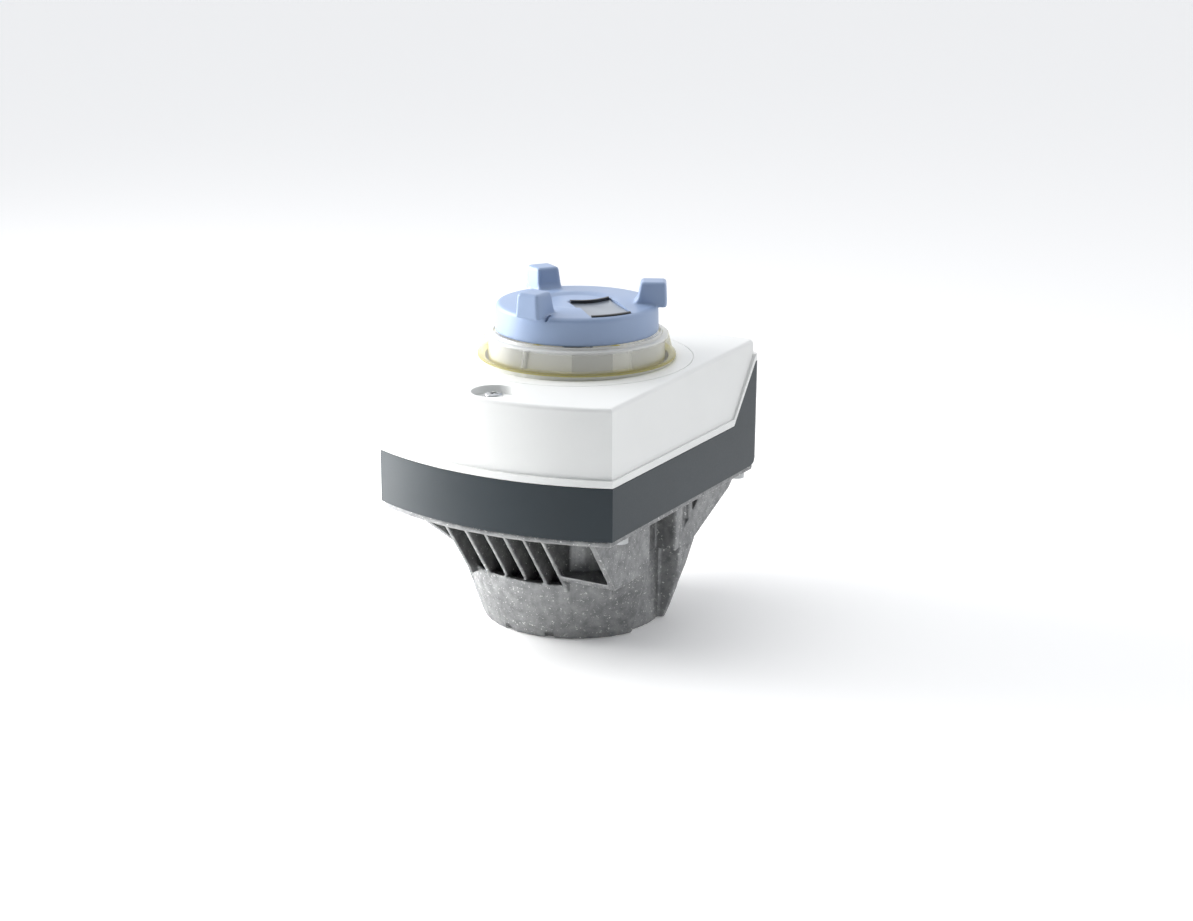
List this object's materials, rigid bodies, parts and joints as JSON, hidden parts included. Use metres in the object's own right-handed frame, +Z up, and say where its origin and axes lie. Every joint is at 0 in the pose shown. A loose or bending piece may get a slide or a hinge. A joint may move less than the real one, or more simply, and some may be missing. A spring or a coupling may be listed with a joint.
{
  "type": "motorised valve actuator head",
  "caption": "Quarter-turn motor actuator head: cast foot with square drive socket, dark housing, pale cover, clear position window and a press-and-turn hand knob.",
  "frame": {"origin": "on the drive axis, in the plane of the foot that meets the valve's top flange", "axes": "+Z up along the drive axis towards the hand knob, -Y towards the front of the housing with the cover screw, +Y towards the cable entries"},
  "size_m": [0.124, 0.1665, 0.1643],
  "materials": {
    "cast_aluminium": "as-cast, fine matt skin",
    "dark_plastic": "semi-matt moulded blue-grey",
    "pale_plastic": "fine-textured moulded light grey",
    "blue_plastic": "satin moulded blue",
    "silver_foil": "silver-backed window film",
    "drum_plastic": "moulded off-white",
    "yellow_plastic": "moulded yellow",
    "clear_plastic": "clear polycarbonate",
    "steel": "turned and zinc-plated",
    "bronze": "sintered bronze",
    "rubber": "matt",
    "pale_silicone": "translucent silicone",
    "gear_plastic": "natural acetal",
    "board_laminate": "solder resist",
    "black_plastic": "moulded",
    "motor_case": "drawn steel can"
  },
  "bodies": {
    "housing": {"mounting_casting": "cast_aluminium", "bearing_flange": "cast_aluminium", "base_housing": "dark_plastic", "top_cover": "pale_plastic", "cover_gasket": "rubber", "cover_screw": "steel", "window_ring": "clear_plastic", "window_seal": "pale_silicone", "knob_guide_tube": "gear_plastic", "knob_return_spring": "steel", "lower_bearing_bush": "bronze", "upper_bearing_bush": "bronze", "gear_plate_lower": "steel", "gear_plate_upper": "steel", "plate_pillar_1": "steel", "plate_pillar_2": "steel", "plate_pillar_3": "steel", "plate_pillar_4": "steel", "stage_1_pin": "steel", "stage_2_pin": "steel", "motor_body": "motor_case", "motor_screw_1": "steel", "motor_screw_2": "steel", "circuit_board": "board_laminate", "terminal_block_left": "black_plastic", "terminal_block_right": "black_plastic", "relay": "black_plastic", "capacitor": "motor_case", "limit_switch_1": "black_plastic", "limit_switch_2": "black_plastic", "potentiometer": "black_plastic", "cable_plug_left": "dark_plastic", "cable_plug_centre": "dark_plastic", "cable_plug_right": "dark_plastic", "casting_screw_1": "steel", "casting_screw_2": "steel", "casting_screw_3": "steel", "casting_screw_4": "steel"},
    "output": {"output_shaft": "steel", "output_gear": "steel", "shaft_circlip": "steel", "indicator_carrier": "gear_plastic", "indicator_drum": "drum_plastic", "indicator_ring": "yellow_plastic"},
    "first_stage": {"stage_1_gear": "steel"},
    "second_stage": {"stage_2_gear": "gear_plastic"},
    "rotor": {"motor_pinion": "steel"},
    "hand_drive": {"hand_gear": "steel"},
    "position_sensor": {"potentiometer_gear": "gear_plastic"},
    "knob_slide": {"knob_slide_bush": "gear_plastic"},
    "knob": {"manual_knob": "blue_plastic", "knob_window_plate": "silver_foil", "knob_shaft": "steel", "knob_retaining_clip": "steel"}
  },
  "joints": [
    {"name": "output_turn", "type": "hinge", "parent": "housing", "child": "output", "pos_m": [0, 0, 0], "axis": [0, 0, 1], "range_deg": [0, 90]},
    {"name": "first_stage_turn", "type": "hinge", "parent": "housing", "child": "first_stage", "pos_m": [-0.03076, -0.03076, 0], "axis": [0, 0, 1], "range_deg": [-432, 0]},
    {"name": "second_stage_turn", "type": "hinge", "parent": "housing", "child": "second_stage", "pos_m": [-0.00893, -0.04908, 0], "axis": [0, 0, 1], "range_deg": [0, 1620]},
    {"name": "rotor_turn", "type": "hinge", "parent": "housing", "child": "rotor", "pos_m": [0.01507, -0.04908, 0], "axis": [0, 0, 1], "range_deg": [-4860, 0]},
    {"name": "hand_drive_turn", "type": "hinge", "parent": "housing", "child": "hand_drive", "pos_m": [0, 0, 0], "axis": [0, 0, 1], "range_deg": [0, 462.86]},
    {"name": "position_sensor_turn", "type": "hinge", "parent": "housing", "child": "position_sensor", "pos_m": [0.01242, 0.04636, 0], "axis": [0, 0, 1], "range_deg": [-270, 0]},
    {"name": "knob_press", "type": "slide", "parent": "housing", "child": "knob_slide", "axis": [0, 0, -1], "range_m": [0, 0.003], "stiffness_N_per_m": 1500, "springref_m": -0.002, "deforming": ["knob_return_spring"]},
    {"name": "knob_turn", "type": "hinge", "parent": "knob_slide", "child": "knob", "pos_m": [0, 0, 0], "axis": [0, 0, 1], "continuous": true}
  ],
  "couplings": [
    {"joint": "first_stage_turn", "follows": "output_turn", "ratio": -4.8},
    {"joint": "second_stage_turn", "follows": "output_turn", "ratio": 18},
    {"joint": "rotor_turn", "follows": "output_turn", "ratio": -54},
    {"joint": "hand_drive_turn", "follows": "output_turn", "ratio": 5.1429},
    {"joint": "position_sensor_turn", "follows": "output_turn", "ratio": -3}
  ]
}
